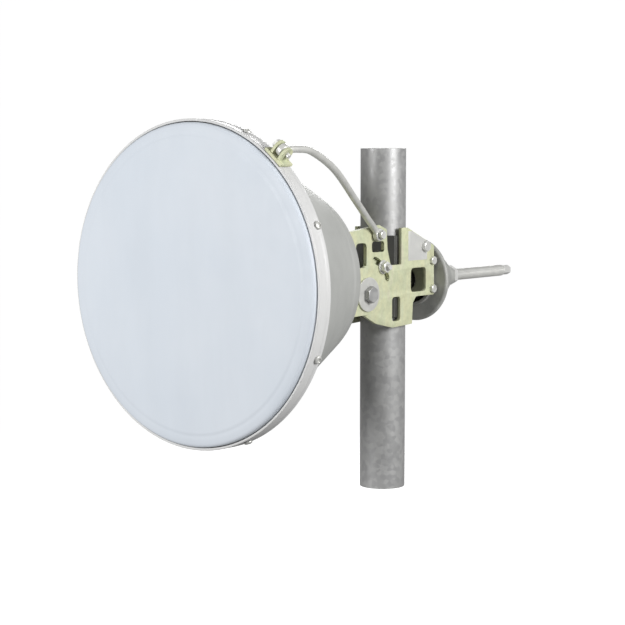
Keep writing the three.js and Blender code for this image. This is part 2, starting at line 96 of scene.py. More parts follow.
class Surface:
    """A principled material with short names for the nodes that it needs."""

    def __init__(self, name, colour, roughness, metallic=0.0, **sockets):
        self.material = bpy.data.materials.new(name)
        self.material.use_nodes = True
        self.material.diffuse_color = (*colour, 1)
        self.nodes = self.material.node_tree.nodes
        self.links = self.material.node_tree.links
        self.shader = self.nodes["Principled BSDF"]
        self.shader.inputs["Base Color"].default_value = (*colour, 1)
        self.shader.inputs["Roughness"].default_value = roughness
        self.shader.inputs["Metallic"].default_value = metallic
        for socket, value in sockets.items():
            self.shader.inputs[socket.replace("_", " ")].default_value = value
        self.place = self.nodes.new("ShaderNodeTexCoord").outputs["Object"]
        self.height = None

    def stretched(self, scale):
        node = self.nodes.new("ShaderNodeMapping")
        node.inputs["Scale"].default_value = scale
        self.links.new(self.place, node.inputs["Vector"])
        return node.outputs["Vector"]

    def noise(self, scale, detail=4.0, rough=0.55, vector=None):
        node = self.nodes.new("ShaderNodeTexNoise")
        node.inputs["Scale"].default_value = scale
        node.inputs["Detail"].default_value = detail
        node.inputs["Roughness"].default_value = rough
        self.links.new(vector or self.place, node.inputs["Vector"])
        return node.outputs["Fac"]

    def scaled(self, value, factor):
        node = self.nodes.new("ShaderNodeMath")
        node.operation = "MULTIPLY"
        node.inputs[1].default_value = factor
        self.links.new(value, node.inputs[0])
        return node.outputs[0]

    def cells(self, scale, output="Color", feature="F1"):
        node = self.nodes.new("ShaderNodeTexVoronoi")
        node.feature = feature
        node.inputs["Scale"].default_value = scale
        self.links.new(self.place, node.inputs["Vector"])
        return node.outputs[output]

    def ramp(self, value, stops):
        """Maps a value to a colour; stops are (position, colour or grey level)."""
        node = self.nodes.new("ShaderNodeValToRGB")
        elements = node.color_ramp.elements
        while len(elements) < len(stops):
            elements.new(0.5)
        for element, (position, colour) in zip(elements, stops):
            element.position = position
            grey = isinstance(colour, (int, float))
            element.color = (colour, colour, colour, 1) if grey else (*colour, 1)
        self.links.new(value, node.inputs["Fac"])
        return node.outputs["Color"]

    def mix(self, factor, first, second, mode="MIX"):
        node = self.nodes.new("ShaderNodeMix")
        node.data_type = "RGBA"
        node.blend_type = mode
        for index, value in ((0, factor), (6, first), (7, second)):
            if isinstance(value, bpy.types.NodeSocket):
                self.links.new(value, node.inputs[index])
            else:
                node.inputs[index].default_value = value if index == 0 else (*value, 1)
        return node.outputs[2]

    def edges(self, low=0.5, high=0.56):
        """0 on flat stretches, 1 on sharp convex edges."""
        point = self.nodes.new("ShaderNodeNewGeometry").outputs["Pointiness"]
        return self.ramp(point, [(low, 0.0), (high, 1.0)])

    def colour(self, value):
        self.links.new(value, self.shader.inputs["Base Color"])

    def roughness(self, value):
        self.links.new(value, self.shader.inputs["Roughness"])

    def bump(self, value, distance, strength=1.0):
        node = self.nodes.new("ShaderNodeBump")
        node.inputs["Distance"].default_value = distance
        node.inputs["Strength"].default_value = strength
        self.links.new(value, node.inputs["Height"])
        if self.height is not None:
            self.links.new(self.height, node.inputs["Normal"])
        self.height = node.outputs["Normal"]
        self.links.new(self.height, self.shader.inputs["Normal"])


def make_radome_plastic():
    s = Surface("radome_plastic", (0.57, 0.615, 0.67), 0.52, Specular_IOR_Level=0.35)
    cloud = s.noise(7.0, 3.0)
    tint = s.ramp(cloud, [(0.35, (0.555, 0.60, 0.655)), (0.65, (0.58, 0.62, 0.67))])
    rain = s.noise(26.0, 5.0, 0.6, s.stretched((1.0, 1.0, 0.2)))
    streak = s.ramp(rain, [(0.35, 0.975), (0.62, 1.0)])
    s.colour(s.mix(1.0, tint, streak, "MULTIPLY"))
    s.roughness(s.ramp(s.noise(60.0), [(0.3, 0.47), (0.7, 0.58)]))
    s.bump(s.noise(900.0, 2.0), 0.00004, 0.6)
    return s.material


def make_powder_coat(name, colour, roughness, speck=0.9):
    s = Surface(name, colour, roughness, Specular_IOR_Level=0.45)
    dark = tuple(channel * speck for channel in colour)
    s.colour(s.ramp(s.noise(18.0, 6.0, 0.6), [(0.32, dark), (0.6, colour)]))
    s.roughness(s.ramp(s.noise(45.0), [(0.3, roughness - 0.05), (0.7, roughness + 0.08)]))
    s.bump(s.noise(650.0, 2.0), 0.00008, 0.7)
    return s.material


def make_zinc_chromate():
    s = Surface("zinc_chromate", (0.52, 0.535, 0.375), 0.58, 0.1)
    flow = s.noise(26.0, 3.0, 0.5, s.stretched((1.0, 1.6, 0.7)))
    film = s.ramp(flow, [
        (0.30, (0.50, 0.53, 0.375)), (0.44, (0.545, 0.55, 0.36)),
        (0.56, (0.495, 0.525, 0.35)), (0.70, (0.55, 0.54, 0.39)),
    ])
    dull = s.ramp(s.noise(170.0, 5.0, 0.65), [(0.35, 0.90), (0.62, 1.06)])
    s.colour(s.mix(1.0, film, dull, "MULTIPLY"))
    s.roughness(s.ramp(s.noise(90.0), [(0.3, 0.52), (0.7, 0.64)]))
    s.bump(s.noise(520.0, 4.0, 0.6, s.stretched((1.0, 0.25, 1.0))), 0.00006, 0.8)
    return s.material


def make_galvanised():
    s = Surface("galvanised_steel", (0.37, 0.37, 0.365), 0.5, 0.4)
    spangle = s.ramp(s.cells(170.0), [(0.15, (0.335, 0.335, 0.335)), (0.85, (0.405, 0.405, 0.40))])
    haze = s.ramp(s.noise(30.0, 5.0, 0.65), [(0.3, 0.90), (0.68, 1.0)])
    s.colour(s.mix(1.0, spangle, haze, "MULTIPLY"))
    s.roughness(s.ramp(s.cells(170.0), [(0.2, 0.44), (0.8, 0.56)]))
    s.bump(s.noise(240.0, 4.0), 0.00008, 0.5)
    return s.material


def make_bolt_steel():
    s = Surface("bolt_steel", (0.63, 0.63, 0.60), 0.38, 0.4)
    film = s.ramp(s.noise(70.0, 3.0), [(0.35, (0.59, 0.59, 0.565)), (0.65, (0.67, 0.67, 0.64))])
    s.colour(s.mix(s.edges(0.52, 0.6), film, (0.74, 0.74, 0.72)))
    s.roughness(s.ramp(s.noise(180.0), [(0.3, 0.28), (0.7, 0.44)]))
    s.bump(s.noise(1100.0, 3.0), 0.00003, 0.6)
    return s.material


def make_dark_coat(name, colour, roughness, metallic, worn, grain):
    """A dark coat that is paler where its edges are rubbed."""
    s = Surface(name, colour, roughness, metallic)
    pale = tuple(channel * 1.25 for channel in colour)
    deep = tuple(channel * 0.82 for channel in colour)
    s.colour(s.mix(s.edges(0.52, 0.62), s.ramp(s.noise(40.0, 5.0), [(0.3, deep), (0.7, pale)]), worn))
    s.roughness(s.ramp(s.noise(120.0), [(0.3, roughness - 0.07), (0.7, roughness + 0.1)]))
    s.bump(s.noise(430.0, 5.0, 0.7), grain, 0.8)
    return s.material


def make_spun_aluminium():
    s = Surface("spun_aluminium", (0.74, 0.75, 0.76), 0.38, 0.95)
    rings = s.noise(210.0, 2.0, 0.5, s.stretched((0.3, 3.0, 0.3)))
    s.colour(s.ramp(rings, [(0.3, (0.68, 0.69, 0.70)), (0.7, (0.78, 0.79, 0.80))]))
    s.roughness(s.ramp(s.noise(50.0), [(0.3, 0.32), (0.7, 0.45)]))
    s.bump(rings, 0.00003, 0.5)
    return s.material


def make_plated_brass():
    s = Surface("plated_brass", (0.62, 0.52, 0.30), 0.3, 0.95)
    s.colour(s.ramp(s.noise(80.0), [(0.3, (0.56, 0.46, 0.25)), (0.7, (0.68, 0.58, 0.36))]))
    s.roughness(s.ramp(s.noise(200.0), [(0.3, 0.24), (0.7, 0.38)]))
    s.bump(s.noise(900.0), 0.00003, 0.5)
    return s.material


def make_dielectric():
    s = Surface("dielectric_plastic", (0.80, 0.78, 0.70), 0.45, Specular_IOR_Level=0.4)
    s.colour(s.ramp(s.noise(60.0), [(0.3, (0.77, 0.75, 0.67)), (0.7, (0.83, 0.81, 0.74))]))
    s.bump(s.noise(700.0), 0.00003, 0.4)
    return s.material


def make_gasket_rubber():
    s = Surface("gasket_rubber", (0.022, 0.022, 0.024), 0.75)
    s.colour(s.ramp(s.noise(120.0), [(0.3, (0.018, 0.018, 0.02)), (0.7, (0.032, 0.032, 0.033))]))
    s.bump(s.noise(800.0), 0.00006, 0.7)
    return s.material


FINISHES = {
    "radome_plastic": make_radome_plastic(),
    "rim_paint": make_powder_coat("rim_paint", (0.58, 0.58, 0.575), 0.45, 0.96),
    "shell_paint": make_powder_coat("shell_paint", (0.37, 0.375, 0.36), 0.5),
    "zinc_chromate": make_zinc_chromate(),
    "galvanised_steel": make_galvanised(),
    "bolt_steel": make_bolt_steel(),
    "cast_grey": make_dark_coat("cast_grey", (0.35, 0.353, 0.334), 0.55, 0.2, (0.46, 0.46, 0.44), 0.00022),
    "black_steel": make_dark_coat("black_steel", (0.04, 0.04, 0.038), 0.5, 0.5, (0.13, 0.13, 0.12), 0.00008),
    "spun_aluminium": make_spun_aluminium(),
    "plated_brass": make_plated_brass(),
    "dielectric_plastic": make_dielectric(),
    "gasket_rubber": make_gasket_rubber(),
}
SLOT_OF = {row["node"]: row["material_slot"] for row in frame["record"]["subparts"]}


# ---- mesh helpers --------------------------------------------------------------------------


def rounded(profile, closed):
    """The profile's points, with each corner that states a fillet turned into an arc."""
    points = []
    for i, corner in enumerate(profile):
        here = Vector(corner[:2])
        fillet = corner[2] if len(corner) > 2 else 0
        if not fillet or (not closed and i in (0, len(profile) - 1)):
            points.append(here)
            continue
        before = Vector(profile[i - 1][:2]) - here
        after = Vector(profile[(i + 1) % len(profile)][:2]) - here
        reach = min(fillet, before.length * 0.49, after.length * 0.49)
        start, end = here + before.normalized() * reach, here + after.normalized() * reach
        for k in range(FILLET_STEPS + 1):
            t = k / FILLET_STEPS
            points.append(start * (1 - t) ** 2 + here * (2 * t * (1 - t)) + end * t**2)
    return points


def skin(rings, closed):
    """A mesh through rings of points; closed joins the last ring to the first."""
    bm = bmesh.new()
    rows = [[bm.verts.new(point) for point in ring] for ring in rings]
    for i in range(len(rows) if closed else len(rows) - 1):
        low, high = rows[i], rows[(i + 1) % len(rows)]
        for k in range(len(low)):
            n = (k + 1) % len(low)
            bm.faces.new((low[k], low[n], high[n], high[k]))
    bmesh.ops.remove_doubles(bm, verts=bm.verts, dist=1e-4)
    bmesh.ops.recalc_face_normals(bm, faces=bm.faces)
    return bm


def lathe(profile, segments=96, closed=False):
    """A solid of revolution about Y from (radius, y, fillet) corners."""
    angles = [2 * math.pi * k / segments for k in range(segments)]
    rings = [[(r * math.cos(a), y, r * math.sin(a)) for a in angles] for r, y in rounded(profile, closed)]
    return skin(rings, closed)


def hexagonal(flats, length, bore=0.0, both=False):
    """A chamfered hexagon along Y from 0 to length: a bolt head, or a nut if it has a bore."""
    steps = 72
    circle = flats * 0.475
    slope = math.tan(math.radians(28))
    angles = [2 * math.pi * k / steps for k in range(steps)]
    reach = [flats / 2 / math.cos((a + math.pi / 6) % (math.pi / 3) - math.pi / 6) for a in angles]

    def round_ring(radius, y):
        return [(radius * math.cos(a), y, radius * math.sin(a)) for a in angles]

    def hex_ring(height):
        return [(r * math.cos(a), height(r), r * math.sin(a)) for a, r in zip(angles, reach)]

    low = (lambda r: (r - circle) * slope) if both else (lambda r: 0.25)
    rings = [round_ring(bore, 0), round_ring(circle, 0), hex_ring(low)]
    rings += [hex_ring(lambda r: length - (r - circle) * slope), round_ring(circle, length)]
    if bore:
        rings.append(round_ring(bore, length))
    else:
        rings += [round_ring(flats * 0.3, length - 0.25), round_ring(0, length - 0.25)]
    return skin(rings, closed=bool(bore))


def threaded(radius, pitch, start, end, sides=28):
    """A rod along Y with a helical thread from start to end."""
    depth = pitch * 0.55
    rows_per_turn = 6
    rows = round((end - start) / pitch * rows_per_turn)
    rings = [[(0, start, 0)] * sides]
    for i in range(rows + 1):
        y = start + (end - start) * i / rows
        run_out = min(1.0, (y - start) / pitch, (end - y) / pitch)
        ring = []
        for k in range(sides):
            phase = ((y - start) / pitch - k / sides) % 1.0
            cut = depth * min(1.0, max(0.0, abs(2 * phase - 1) * 1.25 - 0.12))
            r = radius - depth * 0.9 + (depth * 0.9 - cut * 0.9) * max(run_out, 0.0)
            a = 2 * math.pi * k / sides
            ring.append((r * math.cos(a), y, r * math.sin(a)))
        rings.append(ring)
    rings.append([(0, end, 0)] * sides)
    return skin(rings, closed=False)


def merged(*parts):
    """One mesh holding several, each a bmesh."""
    mesh = bpy.data.meshes.new("part")
    bm = bmesh.new()
    for part in parts:
        part.to_mesh(mesh)
        part.free()
        bm.from_mesh(mesh)
    bpy.data.meshes.remove(mesh)
    return bm


def aimed(bm, direction, origin=(0, 0, 0)):
    """Turns a part built along +Y to point along direction, and moves it to origin."""
    turn = BACK.rotation_difference(Vector(direction)).to_matrix().to_4x4()
    bmesh.ops.transform(bm, matrix=Matrix.Translation(Vector(origin)) @ turn, verts=bm.verts)
    return bm


def finish_mesh(obj, sharp):
    obj.data.shade_smooth()
    obj.data.set_sharp_from_angle(angle=math.radians(sharp))


def piece(name, bm, body, finish, replaces=(), sharp=32, shift=(0, 0, 0)):
    """Makes an object of a millimetre mesh and ties it to its body and its CAD nodes."""
    to_row = Matrix.Scale(MM, 4) @ Matrix.Translation(Vector((0, 0, AXIS_Z)) + Vector(shift))
    bmesh.ops.transform(bm, matrix=to_row, verts=bm.verts)
    mesh = bpy.data.meshes.new(name)
    bm.to_mesh(mesh)
    bm.free()
    obj = bpy.data.objects.new(name, mesh)
    bpy.context.scene.collection.objects.link(obj)
    mesh.materials.append(FINISHES[finish])
    finish_mesh(obj, sharp)
    if replaces:
        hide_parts(*replaces)
    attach(obj, body)
    return obj


def soften(obj, width, segments=2):
    """Rounds a sheet part's edges: the flat faces are merged first."""
    weld = obj.modifiers.new("weld", "WELD")
    weld.merge_threshold = 0.00001
    flat = obj.modifiers.new("flat", "DECIMATE")
    flat.decimate_type = "DISSOLVE"
    flat.angle_limit = math.radians(1)
    bevel = obj.modifiers.new("bevel", "BEVEL")
    bevel.width = width * MM
    bevel.segments = segments
    bevel.limit_method = "ANGLE"
    bevel.angle_limit = math.radians(32)
    bevel.harden_normals = True
    obj.data.shade_smooth()


# ---- radome, rim and reflector -------------------------------------------------------------


def make_radome():
    low, high = extent("radome")
    edge, back, wall = high.x, high.y, RADOME_WALL
    profile = [
        (0, FACE_Y), (60, FACE_Y + 0.25), (120, FACE_Y + 1.0), (174, FACE_Y + 2.3, 3), (177, FACE_Y + 3.1, 2),
        (181, FACE_Y + 3.2, 2), (edge, FACE_Y + 4.6, 6), (edge, back, 0.8), (edge - wall, back, 0.8),
        (edge - wall, FACE_Y + 11, 4), (178, FACE_Y + 6.4, 3), (0, FACE_Y + wall),
    ]
    piece("radome_skin", lathe(profile, 192), HEAD, "radome_plastic", ["radome"], sharp=40)
    low, high = extent("radome_gasket")
    seal = [(185, low.y, 0.8), (high.x, low.y, 0.8), (high.x, high.y, 0.8), (185, high.y, 0.8)]
    piece("gasket_ring", lathe(seal, 128, closed=True), HEAD, "gasket_rubber", ["radome_gasket"])


def make_rim_band():
    low, high = extent("rim_band")
    outer, inner, lip, wall = DISH_R, DISH_R - BAND_WALL, 184, BAND_WALL
    profile = [
        (inner, low.y, 1.2), (outer, low.y, 1.4), (outer, low.y + 4, 1), (outer - 0.9, low.y + 6, 1),
        (outer - 0.9, high.y - 7, 1), (outer, high.y - 5, 1), (outer, high.y, 2.4), (lip, high.y, 1),
        (lip, high.y - wall, 1), (inner, high.y - wall, 0.6),
    ]
    piece("rim_band_rolled", lathe(profile, 192, closed=True), HEAD, "rim_paint", ["rim_band"])
    for i in range(1, 9):
        make_rim_screw(f"rim_screw_{i}")


def make_rim_screw(node):
    low, high = extent(node)
    centre = (low + high) / 2
    outward = Vector((centre.x, 0, centre.z)).normalized()
    head = lathe([
        (0, 0.2), (5.2, 0.2, 0.3), (5.2, 1.0, 0.6), (4.6, 2.2, 0.8), (2.6, 2.9, 0.3), (2.3, 1.5), (0, 1.5),
    ], 36)
    shank = lathe([(0, -8), (2.3, -8, 0.5), (2.3, 0.3), (0, 0.3)], 20)
    origin = outward * (DISH_R - 0.6) + Vector((0, centre.y, 0))
    piece(f"{node}_fine", aimed(merged(head, shank), outward, origin), HEAD, "bolt_steel", [node])


def make_reflector():
    low, high = extent("reflector")
    hole, steps = 13.5, 24
    vertex = low.y + REFLECTOR_RIM**2 / (4 * FOCAL_LENGTH)
    radii = [hole + (REFLECTOR_RIM - hole) * i / steps for i in range(steps + 1)]
    front = [(r, vertex - r**2 / (4 * FOCAL_LENGTH)) for r in radii]
    back = [(r, y + SPUN_SHEET) for r, y in reversed(front)]
    flange = [(high.x, low.y, 0.8), (high.x, low.y + SPUN_SHEET, 0.8)]
    dish = lathe(front + flange + back, 128, closed=True)
    piece("reflector_dish", dish, HEAD, "spun_aluminium", ["reflector"])


def make_rear_shell():
    low, high = extent("rear_shell")
    sheet, neck, shoulder = SPUN_SHEET, SHELL_NECK, SHELL_SHOULDER
    front, back = low.y, high.y
    bend = extent("rim_band")[1].y - BAND_WALL
    slope = (shoulder - neck) / (back - 6 - bend)

    def cone(y):
        return neck + slope * (y - bend)

    def bead(y, rise, half):
        return [(cone(y - half), y - half, 1.5), (cone(y) - rise, y, 3), (cone(y + half), y + half, 1.5)]

    outer = [(neck, bend, 5), *bead(bend + 22, 2.0, 5), *bead(back - 34, 2.0, 5), (shoulder, back - 6, 6)]
    inner = [(shoulder - 2.6, back - 7.5, 4), (neck - sheet, bend - 1, 3)]
    profile = [
        (neck - sheet, front), (high.x, front, 0.8), (high.x, front + sheet, 0.8), (neck, front + sheet, 1.5),
        *outer, (shoulder - 9, back, 4), (26, back, 0.8), (26, back - sheet, 0.8),
        (shoulder - 10, back - sheet, 3), *inner,
    ]
    piece("rear_shell_spun", lathe(profile, 160, closed=True), HEAD, "shell_paint", ["rear_shell"])


# ---- hub, yoke and brace -------------------------------------------------------------------


def make_hub():
    low, high = extent("hub_tube")
    tube = [
        (21, low.y, 0.6), (26, low.y, 0.6), (26, high.y - 4, 2), (54, high.y - 4, 0.8), (54, high.y, 0.8),
        (21, high.y, 0.6),
    ]
    piece("hub_tube_turned", lathe(tube, 64, closed=True), HEAD, "spun_aluminium", ["hub_tube"])
    low, high = extent("hub_plate")
    disc = [(24, low.y, 0.6), (high.x, low.y, 0.8), (high.x, high.y, 1.2), (24, high.y, 0.8)]
    piece("hub_plate_turned", lathe(disc, 128, closed=True), HEAD, "zinc_chromate", ["hub_plate"])
    for i in range(1, 5):
        low, high = extent(f"hub_bolt_{i}")
        x, z = (low.x + high.x) / 2, (low.z + high.z) / 2
        head_y = high.y - 5.5
        shank = lathe([(0, low.y + 0.5), (3.9, low.y + 0.5, 0.8), (3.9, head_y + 1), (0, head_y + 1)], 28)
        washer = lathe([
            (4.1, head_y - 0.2, 0.2), (7.6, head_y - 0.2, 0.3),
            (7.6, head_y + 0.9, 0.3), (4.1, head_y + 0.9, 0.2),
        ], 40, closed=True)
        head = aimed(hexagonal(13, 4.6), BACK, (0, head_y + 0.9, 0))
        bolt = aimed(merged(head, shank, washer), BACK, (x, 0, z))
        piece(f"hub_bolt_{i}_fine", bolt, HEAD, "bolt_steel", [f"hub_bolt_{i}"])
    make_hub_screws()


def make_hub_screws():
    """Six small screws that hold the hub plate to the shell, between the yoke and its rim."""
    face = extent("hub_plate")[1].y
    for i in range(6):
        angle = math.radians(30 + 60 * i)
        where = Vector((64 * math.cos(angle), face, 64 * math.sin(angle)))
        head = lathe([
            (0, 0), (4.2, 0, 0.3), (4.2, 0.8, 0.6), (3.6, 2.2, 0.8), (1.9, 2.6, 0.2), (1.7, 1.4), (0, 1.4),
        ], 28)
        piece(f"hub_screw_{i + 1}", aimed(head, BACK, where), HEAD, "bolt_steel")


def copy_node(node):
    """The CAD node's mesh in millimetres, merged and with its flat faces whole."""
    bm = bmesh.new()
    bm.from_mesh(frame["nodes"][node].data)
    to_local = Matrix.Translation(Vector((0, 0, -AXIS_Z))) @ Matrix.Scale(1 / MM, 4)
    bmesh.ops.transform(bm, matrix=to_local, verts=bm.verts)
    bmesh.ops.remove_doubles(bm, verts=bm.verts, dist=0.01)
    bmesh.ops.dissolve_limit(bm, angle_limit=math.radians(1), verts=bm.verts, edges=bm.edges)
    return bm


def make_yoke():
    bm = copy_node("tilt_yoke")
    low, high = extent("tilt_yoke")
    front, outer = low.y, high.x

    def upright_edges(x, y):
        """The edges that stand where a bend is, on the left and on the right."""
        upright = [e for e in bm.edges if e.is_manifold and abs(e.verts[0].co.x - e.verts[1].co.x) < SAME]
        return [e for e in upright
                if all(abs(abs(v.co.x) - x) < SAME and abs(v.co.y - y) < SAME for v in e.verts)]

    outside = (outer, front, 6.5, 6)
    inside = (outer - YOKE_PLATE, front + YOKE_PLATE, 2.0, 4)
    for x, y, radius, steps in (outside, inside):
        edges = upright_edges(x, y)
        bmesh.ops.bevel(bm, geom=edges, offset=radius, segments=steps, affect="EDGES", profile=0.5)
    obj = piece("tilt_yoke_bent", bm, HEAD, "zinc_chromate", ["tilt_yoke"])
    soften(obj, SHEET_EDGE)


def along_rim(y, radius, degrees=BRACE_ANGLE):
    angle = math.radians(degrees)
    return Vector((radius * math.cos(angle), y, radius * math.sin(angle)))


def make_brace():
    ear = extent("brace_bolt_upper")
    ear_y = (ear[0].y + ear[1].y) / 2
    low_bolt = extent("brace_bolt_lower")
    end = Vector((BRACE_END_X, (low_bolt[0].y + low_bolt[1].y) / 2, (low_bolt[0].z + low_bolt[1].z) / 2))
    route = [
        along_rim(ear_y, EAR_RADIUS), along_rim(-334, 208.5), along_rim(-306, 204), along_rim(-243, 176),
        along_rim(-164, 127), along_rim(-112, 94), end + Vector((0.8, -13, 11)), end,
    ]
    rod = tube(route, 4.4)
    radial = along_rim(0, 1)
    tangent = Vector((-radial.z, 0, radial.x))
    eye = [(3.2, -3.6, 0.8), (8.2, -3.6, 1.6), (8.2, 3.6, 1.6), (3.2, 3.6, 0.8)]
    upper = aimed(lathe([(r * 0.95, y, f) for r, y, f in eye], 40, closed=True), tangent, route[0])
    lower = aimed(lathe(eye, 40, closed=True), RIGHT, end)
    piece("brace_rod", merged(rod, upper, lower), HEAD, "bolt_steel", ["brace"])
    make_brace_bolts(tangent, route[0], end)


def tube(route, radius, steps=12, sides=20):
    """A round bar along a smooth curve through the route's points, closed at both ends."""
    path = []
    points = [route[0] * 2 - route[1], *route, route[-1] * 2 - route[-2]]
    for i in range(1, len(points) - 2):
        p0, p1, p2, p3 = points[i - 1:i + 3]
        for k in range(steps):
            t = k / steps
            path.append(0.5 * (2 * p1 + (p2 - p0) * t + (2 * p0 - 5 * p1 + 4 * p2 - p3) * t**2
                               + (3 * p1 - p0 - 3 * p2 + p3) * t**3))
    path.append(points[-2])
    rings = [[path[0]] * sides]
    side = (path[1] - path[0]).orthogonal().normalized()
    for i, point in enumerate(path):
        ahead = (path[min(i + 1, len(path) - 1)] - path[max(i - 1, 0)]).normalized()
        side = (side - ahead * side.dot(ahead)).normalized()
        other = ahead.cross(side)
        angles = [2 * math.pi * k / sides for k in range(sides)]
        rings.append([point + (side * math.cos(a) + other * math.sin(a)) * radius for a in angles])
    rings.append([path[-1]] * sides)
    return skin(rings, closed=False)


def make_brace_bolts(tangent, upper, lower):
    head = aimed(hexagonal(10, 4.2), BACK, (0, 8.8, 0))
    shank = lathe([(0, -12.0), (2.9, -12.0, 0.6), (2.9, 9.5), (0, 9.5)], 24)
    bolt = aimed(merged(head, shank), tangent, upper)
    piece("brace_bolt_upper_fine", bolt, HEAD, "bolt_steel", ["brace_bolt_upper"])
    reach = extent("brace_bolt_lower")
    head_x = reach[1].x - 4.5
    head = aimed(hexagonal(10, 4.2), BACK, (0, head_x, 0))
    inner_x = reach[0].x + 0.3
    shank = lathe([(0, inner_x), (2.9, inner_x, 0.6), (2.9, head_x + 1), (0, head_x + 1)], 24)
    bolt = aimed(merged(head, shank), RIGHT, (0, lower.y, lower.z))
    piece("brace_bolt_lower_fine", bolt, HEAD, "bolt_steel", ["brace_bolt_lower"])


# ---- feed ----------------------------------------------------------------------------------


def make_feed():
    low, high = extent("feed_tube")
    tube_wall = [(9, low.y, 0.5), (12, low.y, 0.8), (12, high.y, 0.6), (9, high.y, 0.5)]
    piece("feed_tube_turned", lathe(tube_wall, 64, closed=True), FEED, "spun_aluminium", ["feed_tube"])
    mouth = low.y
    low, high = extent("feed_cone")
    cone = [
        (0, low.y), (25, low.y, 0.5), (24, low.y + 2, 1),
        (12, mouth - 0.3, 1), (8.6, mouth - 0.3), (8.6, mouth + 18, 2), (0, high.y),
    ]
    piece("feed_cone_moulded", lathe(cone, 64), FEED, "dielectric_plastic", ["feed_cone"])
    low, high = extent("subreflector")
    disc = [(0, low.y), (20, low.y, 2), (27, low.y + 1.2, 0.4), (27, high.y, 0.3), (0, high.y)]
    piece("subreflector_turned", lathe(disc, 72), FEED, "spun_aluminium", ["subreflector"])
    low, high = extent("feed_flange")
    ring = [(12.3, low.y, 0.5), (30, low.y, 0.5), (30, high.y, 0.9), (12.3, high.y, 0.5)]
    piece("feed_flange_turned", lathe(ring, 96, closed=True), FEED, "plated_brass", ["feed_flange"])
    make_connector()


def make_connector():
    low, high = extent("feed_connector")
    body = lathe([
        (0, low.y), (12, low.y, 0.4), (12, low.y + 3.6, 0.8),
        (7.6, low.y + 4.4, 0.6), (7.6, low.y + 8.2), (0, low.y + 8.2),
    ], 64)
    barrel = threaded(8.5, 1.06, low.y + 8, high.y - 1.4, 48)
    lip = lathe([
        (0, high.y - 2), (7.7, high.y - 2), (7.7, high.y, 0.4),
        (6.2, high.y, 0.3), (6.2, high.y - 6), (0, high.y - 6),
    ], 64)
    pin = lathe([(0, high.y - 7), (1.5, high.y - 7), (1.5, high.y - 1.2, 0.6), (0, high.y - 0.8)], 20)
    piece("feed_connector_turned", merged(body, barrel, lip, pin), FEED, "plated_brass", ["feed_connector"])


# ---- pole bracket --------------------------------------------------------------------------


def bolt_along(direction, parts, y, z):
    return aimed(merged(*parts), direction, (0, y, z))


def make_pivot():
    low, high = extent("pivot_bolt")
    y, z = PIVOT.y, PIVOT.z
    head_x = high.x - 7.5
    shank = lathe([(0, low.x + 8), (6, low.x + 8), (6, head_x + 1), (0, head_x + 1)], 48)
    tip = threaded(6, 1.75, low.x, low.x + 9, 40)
    head = aimed(hexagonal(19, 7.4), BACK, (0, head_x, 0))
    bolt = bolt_along(RIGHT, [shank, tip, head], y, z)
    piece("pivot_bolt_fine", bolt, BRACKET, "galvanised_steel", ["pivot_bolt"])
    low, high = extent("pivot_nut")
    nut = aimed(hexagonal(19, high.x - low.x - 0.2, 6.1, both=True), BACK, (0, low.x, 0))
    piece("pivot_nut_fine", bolt_along(RIGHT, [nut], y, z), BRACKET, "bolt_steel", ["pivot_nut"])
    for hand in ("right", "left"):
        make_washer(f"pivot_washer_{hand}", 6.4, 22, y, z)


def make_washer(node, inner, outer, y, z):
    low, high = extent(node)
    ring = [(inner, low.x, 0.2), (outer, low.x, 0.35), (outer, high.x, 0.35), (inner, high.x, 0.2)]
    washer = lathe(ring, 64, closed=True)
    piece(f"{node}_fine", bolt_along(RIGHT, [washer], y, z), BRACKET, "bolt_steel", [node])


def make_locks():
    for hand, side in (("right", 1), ("left", -1)):
        low, high = extent(f"lock_bolt_{hand}")
        y, z = (low.y + high.y) / 2, (low.z + high.z) / 2
        inside, tip = sorted((abs(low.x), abs(high.x)))
        head = lathe([
            (0, inside), (3.5, inside + 0.1), (7.4, inside + 1.7, 1),
            (8, inside + 3.4, 0.3), (8, inside + 4.0, 0.2), (0, inside + 4.0),
        ], 48)
        shank = lathe([(0, inside + 3), (3.9, inside + 3), (3.9, tip - 11), (0, tip - 11)], 32)
        thread = threaded(4, 1.25, tip - 12, tip, 32)
        way = RIGHT * side
        piece(f"lock_bolt_{hand}_fine", bolt_along(way, [head, shank, thread], y, z), BRACKET, "bolt_steel",
              [f"lock_bolt_{hand}"])
        make_washer(f"lock_washer_{hand}", 4.4, 9, y, z)
        low, high = extent(f"lock_nut_{hand}")
        near, far = sorted((abs(low.x), abs(high.x)))
        nut = aimed(hexagonal(13, far - near - 0.2, 4.1, both=True), BACK, (0, near, 0))
        placed = bolt_along(way, [nut], y, z)
        piece(f"lock_nut_{hand}_fine", placed, BRACKET, "bolt_steel", [f"lock_nut_{hand}"])


